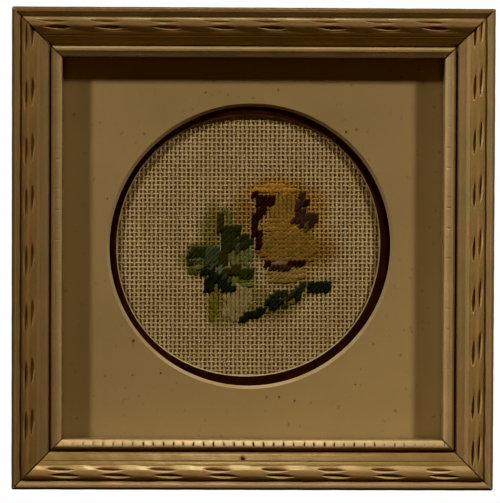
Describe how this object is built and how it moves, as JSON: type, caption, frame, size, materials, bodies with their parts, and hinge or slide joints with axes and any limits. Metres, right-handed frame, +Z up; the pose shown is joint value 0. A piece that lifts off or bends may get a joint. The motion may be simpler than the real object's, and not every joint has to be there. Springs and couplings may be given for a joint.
{
  "type": "framed needlepoint picture",
  "caption": "Square carved frame of mitred moulding around a flat stitched canvas, seen through a round window in a tan mat with a thin dark inner ring.",
  "frame": {"origin": "centre of the flat back face of the top rail, in the plane of the wall, where the frame is hung", "axes": "+Z up, +X to the viewer's right, -Y out of the picture's face, +Y into the wall"},
  "size_m": [0.2032, 0.025, 0.2032],
  "materials": {
    "gilt_wood": "antique gold paint over carved wood with a dark wash in the grooves",
    "tan_board": "matte paper face with a pale bevelled core",
    "dark_board": "matte",
    "canvas_cloth": "sized open mesh with short wool stitches",
    "mount_board": "matte"
  },
  "bodies": {
    "root": {"frame_bottom": "gilt_wood", "frame_right": "gilt_wood", "frame_top": "gilt_wood", "frame_left": "gilt_wood", "mat_outer": "tan_board", "mat_inner": "dark_board", "canvas": "canvas_cloth", "mount_board": "mount_board"}
  },
  "joints": []
}
